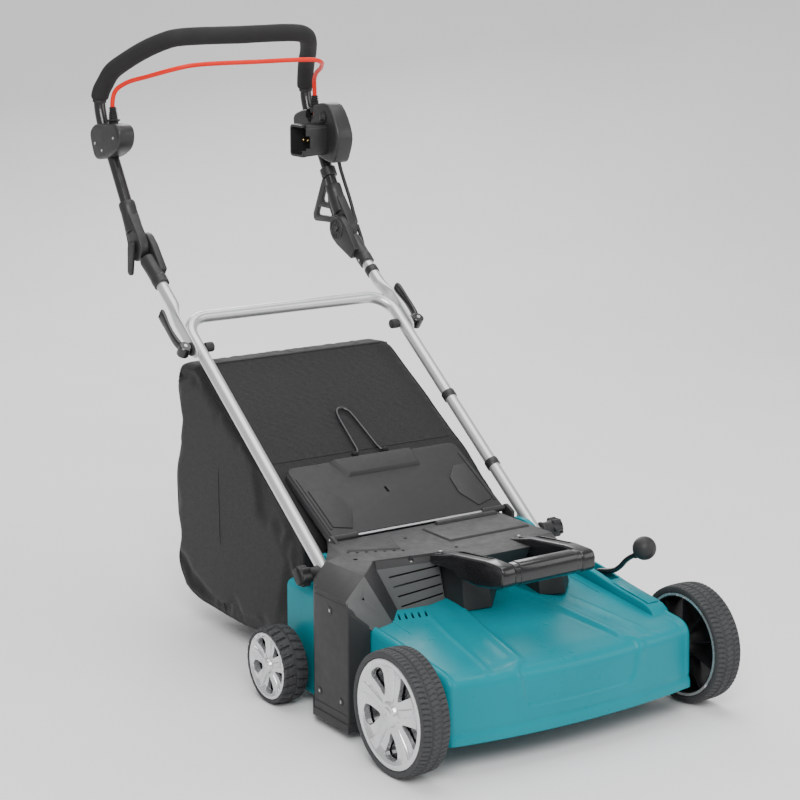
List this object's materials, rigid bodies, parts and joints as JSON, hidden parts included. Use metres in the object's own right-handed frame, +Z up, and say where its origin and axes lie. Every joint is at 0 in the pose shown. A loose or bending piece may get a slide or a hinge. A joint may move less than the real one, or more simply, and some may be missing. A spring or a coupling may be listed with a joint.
{
  "type": "lawn dethatcher",
  "caption": "Walk-behind electric lawn dethatcher with moulded deck, tine reel, four wheels, rear flap, fabric collector bag and a folding push handle with a bail.",
  "frame": {"origin": "middle of the footprint on the ground", "axes": "+Z up; -Y is the front of the machine, +Y towards the operator; +X is the side with the height lever and the switch housing"},
  "size_m": [0.638, 1.24, 1.083],
  "materials": {
    "teal_deck": "satin moulded, light orange-peel",
    "black_cover": "fine spark-eroded grain",
    "gloss_black": "smooth gloss",
    "tyre": "matt rubber-like, moulded tread",
    "rim": "silver lacquered",
    "zinc_steel": "zinc plated",
    "silver_tube": "silver powder coat",
    "black_tube": "gloss black powder coat",
    "foam": "closed-cell foam, matt",
    "red_bail": "red powder coat",
    "fabric": "woven polyester",
    "rubber": "matt",
    "brass": "machined",
    "motor_steel": "painted, dull"
  },
  "bodies": {
    "deck": {"deck_shell": "teal_deck", "motor_cover": "black_cover", "belt_cover": "black_cover", "carry_handle": "gloss_black", "carry_grip": "gloss_black", "motor_housing": "motor_steel", "reel_bearing_left": "zinc_steel", "reel_bearing_right": "zinc_steel", "drive_belt": "rubber", "rear_axle": "zinc_steel", "flap_hinge_rod": "zinc_steel", "lead_entry": "rubber"},
    "reel": {"tine_reel": "zinc_steel", "reel_shaft": "zinc_steel", "reel_pulley": "zinc_steel"},
    "armature": {"motor_armature": "zinc_steel"},
    "front_axle": {"front_axle": "zinc_steel"},
    "depth_link": {"depth_link": "zinc_steel"},
    "height_lever": {"height_lever": "black_tube", "lever_ball": "black_cover"},
    "wheel_front_left": {"tyre_front_left": "tyre", "rim_front_left": "rim"},
    "wheel_front_right": {"tyre_front_right": "tyre", "rim_front_right": "rim"},
    "wheel_rear_left": {"tyre_rear_left": "tyre", "rim_rear_left": "rim"},
    "wheel_rear_right": {"tyre_rear_right": "tyre", "rim_rear_right": "rim"},
    "rear_flap": {"rear_flap": "black_cover"},
    "bag": {"collector_bag": "fabric"},
    "bag_handle": {"bag_handle": "black_tube"},
    "lower_handle": {"lower_handle": "silver_tube", "lead_lower": "rubber"},
    "pivot_knob_left": {"pivot_knob_left": "black_cover"},
    "pivot_knob_right": {"pivot_knob_right": "black_cover"},
    "middle_handle": {"side_tube_left": "silver_tube", "side_tube_right": "silver_tube", "cam_bolt_left": "black_cover", "cam_bolt_right": "black_cover", "joint_lower_left": "black_cover", "joint_lower_right": "black_cover", "lead_middle": "rubber"},
    "cam_lever_left": {"cam_lever_left": "gloss_black"},
    "cam_lever_right": {"cam_lever_right": "gloss_black"},
    "upper_handle": {"joint_upper_left": "black_cover", "joint_upper_right": "black_cover", "upper_handle": "black_tube", "foam_grip": "foam", "bail_housing": "black_cover", "switch_housing": "black_cover", "plug_shroud": "black_cover", "inlet_pins": "brass", "cable_hook": "black_cover", "lead_upper": "rubber"},
    "joint_release_left": {"joint_release_left": "black_cover"},
    "joint_release_right": {"joint_release_right": "black_cover"},
    "lock_off_button": {"lock_off_button": "red_bail"},
    "bail": {"bail": "red_bail", "bail_boot_left": "rubber", "bail_boot_right": "rubber"}
  },
  "joints": [
    {"name": "reel_spin", "type": "hinge", "parent": "deck", "child": "reel", "pos_m": [0, -0.315, 0.078], "axis": [1, 0, 0], "continuous": true},
    {"name": "motor_spin", "type": "hinge", "parent": "deck", "child": "armature", "pos_m": [0, -0.269, 0.212], "axis": [1, 0, 0], "continuous": true},
    {"name": "height_lever_hinge", "type": "hinge", "parent": "deck", "child": "height_lever", "pos_m": [0.23, -0.36, 0.095], "axis": [1, 0, 0], "range_deg": [-20, 0]},
    {"name": "front_axle_crank", "type": "hinge", "parent": "deck", "child": "front_axle", "pos_m": [0, -0.46, 0.118], "axis": [1, 0, 0], "range_deg": [-10, 0]},
    {"name": "depth_link_pivot", "type": "hinge", "parent": "height_lever", "child": "depth_link", "pos_m": [0.226, -0.36, 0.065], "axis": [1, 0, 0], "range_deg": [0, 20.6]},
    {"name": "wheel_front_left_spin", "type": "hinge", "parent": "front_axle", "child": "wheel_front_left", "pos_m": [-0.292, -0.52, 0.1], "axis": [1, 0, 0], "continuous": true},
    {"name": "wheel_front_right_spin", "type": "hinge", "parent": "front_axle", "child": "wheel_front_right", "pos_m": [0.292, -0.52, 0.1], "axis": [1, 0, 0], "continuous": true},
    {"name": "wheel_rear_left_spin", "type": "hinge", "parent": "deck", "child": "wheel_rear_left", "pos_m": [-0.289, -0.144, 0.0652], "axis": [1, 0, 0], "continuous": true},
    {"name": "wheel_rear_right_spin", "type": "hinge", "parent": "deck", "child": "wheel_rear_right", "pos_m": [0.289, -0.144, 0.0652], "axis": [1, 0, 0], "continuous": true},
    {"name": "rear_flap_hinge", "type": "hinge", "parent": "deck", "child": "rear_flap", "pos_m": [0, -0.1455, 0.2637], "axis": [1, 0, 0], "range_deg": [0, 50]},
    {"name": "bag_slide", "type": "slide", "parent": "deck", "child": "bag", "axis": [0, 1, 0], "range_m": [0, 0.25]},
    {"name": "bag_handle_hinge", "type": "hinge", "parent": "bag", "child": "bag_handle", "pos_m": [0.008, 0.03, 0.347], "axis": [1, 0, 0], "range_deg": [0, 50]},
    {"name": "lower_handle_fold", "type": "hinge", "parent": "deck", "child": "lower_handle", "pos_m": [0, -0.184, 0.224], "axis": [1, 0, 0], "range_deg": [0, 88]},
    {"name": "pivot_knob_left_turn", "type": "hinge", "parent": "deck", "child": "pivot_knob_left", "pos_m": [-0.25, -0.184, 0.224], "axis": [1, 0, 0], "range_deg": [0, 360]},
    {"name": "pivot_knob_right_turn", "type": "hinge", "parent": "deck", "child": "pivot_knob_right", "pos_m": [0.25, -0.184, 0.224], "axis": [1, 0, 0], "range_deg": [-360, 0]},
    {"name": "middle_handle_fold", "type": "hinge", "parent": "lower_handle", "child": "middle_handle", "pos_m": [0, 0.2356, 0.5322], "axis": [1, 0, 0], "range_deg": [0, 80]},
    {"name": "cam_lever_left_open", "type": "hinge", "parent": "middle_handle", "child": "cam_lever_left", "pos_m": [-0.25, 0.2356, 0.5322], "axis": [0, -0.592, 0.8059], "range_deg": [0, 100]},
    {"name": "cam_lever_right_open", "type": "hinge", "parent": "middle_handle", "child": "cam_lever_right", "pos_m": [0.25, 0.2356, 0.5322], "axis": [0, 0.592, -0.8059], "range_deg": [0, 100]},
    {"name": "upper_handle_angle", "type": "hinge", "parent": "middle_handle", "child": "upper_handle", "pos_m": [0, 0.445, 0.687], "axis": [1, 0, 0], "range_deg": [-15, 20]},
    {"name": "joint_release_left_press", "type": "hinge", "parent": "upper_handle", "child": "joint_release_left", "pos_m": [-0.2415, 0.4465, 0.682], "axis": [0, -1, 0], "range_deg": [0, 4.5], "stiffness_Nm_per_rad": 0.3},
    {"name": "joint_release_right_press", "type": "hinge", "parent": "upper_handle", "child": "joint_release_right", "pos_m": [0.2415, 0.4465, 0.682], "axis": [0, 1, 0], "range_deg": [0, 4.5], "stiffness_Nm_per_rad": 0.3},
    {"name": "lock_off_press", "type": "slide", "parent": "upper_handle", "child": "lock_off_button", "axis": [1, 0, 0], "range_m": [0, 0.004], "stiffness_N_per_m": 200},
    {"name": "bail_pull", "type": "hinge", "parent": "upper_handle", "child": "bail", "pos_m": [0, 0.548, 0.893], "axis": [-1, 0, 0], "range_deg": [0, 11], "stiffness_Nm_per_rad": 1.5}
  ],
  "couplings": [
    {"joint": "motor_spin", "follows": "reel_spin", "ratio": 2.2667},
    {"joint": "front_axle_crank", "follows": "height_lever_hinge", "ratio": 0.5},
    {"joint": "depth_link_pivot", "follows": "height_lever_hinge", "ratio": -1.025}
  ]
}
